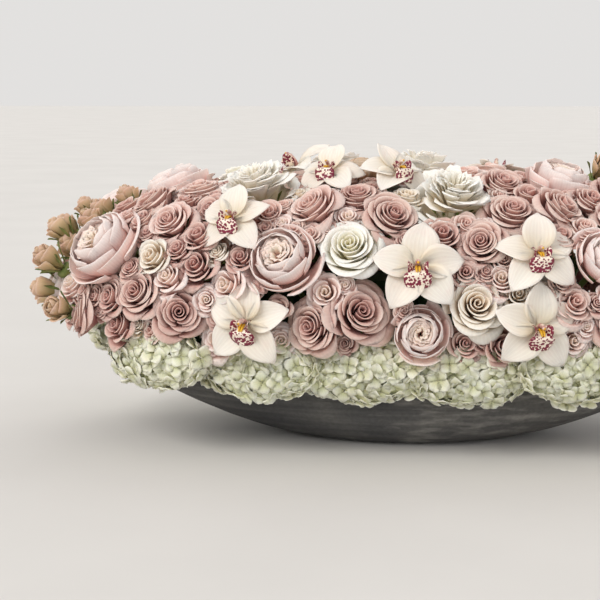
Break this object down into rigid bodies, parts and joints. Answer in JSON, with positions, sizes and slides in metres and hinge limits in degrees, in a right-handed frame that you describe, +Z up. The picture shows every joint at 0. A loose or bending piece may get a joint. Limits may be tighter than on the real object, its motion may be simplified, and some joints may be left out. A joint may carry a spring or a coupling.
{
  "type": "floral table centerpiece",
  "caption": "Long low mound of roses, peonies, orchids and hydrangea stemmed into floral foam in a boat-shaped stone bowl that stands on its flat foot.",
  "frame": {"origin": "middle of the bowl's flat foot, on the surface that it stands on", "axes": "+X along the bowl, +Y to the far side of the mound, +Z up"},
  "size_m": [0.7949, 0.3696, 0.3225],
  "materials": {
    "bowl_stone": "matte cast stone with faint streaks",
    "floral_foam": "matte",
    "rose_mauve": "soft matte petals",
    "rose_pink": "soft matte petals",
    "rose_cream": "soft matte petals",
    "rose_white": "soft matte petals",
    "peony_blush": "soft matte petals",
    "peony_white": "soft matte petals",
    "ranunculus_tan": "soft matte petals",
    "bud_tan": "soft matte petals",
    "orchid": "waxy petals",
    "hydrangea": "soft matte petals"
  },
  "bodies": {
    "root": {"bowl": "bowl_stone", "bud_spray_01": "bud_tan", "bud_spray_02": "bud_tan", "floral_foam": "floral_foam", "hydrangea_01": "hydrangea", "hydrangea_02": "hydrangea", "hydrangea_03": "hydrangea", "hydrangea_04": "hydrangea", "hydrangea_05": "hydrangea", "hydrangea_06": "hydrangea", "hydrangea_07": "hydrangea", "hydrangea_08": "hydrangea", "hydrangea_09": "hydrangea", "orchid_01": "orchid", "orchid_02": "orchid", "orchid_03": "orchid", "orchid_04": "orchid", "orchid_05": "orchid", "orchid_06": "orchid", "orchid_07": "orchid", "orchid_spray_01": "orchid", "orchid_spray_02": "orchid", "peony_blush_01": "peony_blush", "peony_blush_02": "peony_blush", "peony_blush_03": "peony_blush", "peony_blush_04": "peony_blush", "peony_blush_05": "peony_blush", "peony_blush_06": "peony_blush", "peony_blush_07": "peony_blush", "peony_blush_08": "peony_blush", "peony_blush_09": "peony_blush", "peony_blush_10": "peony_blush", "peony_blush_11": "peony_blush", "peony_blush_12": "peony_blush", "peony_blush_13": "peony_blush", "peony_blush_14": "peony_blush", "peony_white_01": "peony_white", "peony_white_02": "peony_white", "peony_white_03": "peony_white", "peony_white_04": "peony_white", "peony_white_05": "peony_white", "peony_white_06": "peony_white", "peony_white_07": "peony_white", "ranunculus_tan_01": "ranunculus_tan", "rose_cream_01": "rose_cream", "rose_spray_01": "rose_mauve", "rose_spray_02": "rose_mauve", "rose_spray_03": "rose_mauve", "rose_spray_04": "rose_pink", "rose_spray_05": "rose_mauve", "rose_spray_06": "rose_pink", "rose_spray_07": "rose_mauve", "rose_spray_08": "rose_mauve", "rose_spray_09": "rose_mauve", "rose_spray_10": "rose_mauve", "rose_spray_11": "rose_mauve", "rose_spray_12": "rose_mauve", "rose_spray_13": "rose_mauve", "rose_white_01": "rose_white", "rose_white_02": "rose_white"}
  },
  "joints": []
}
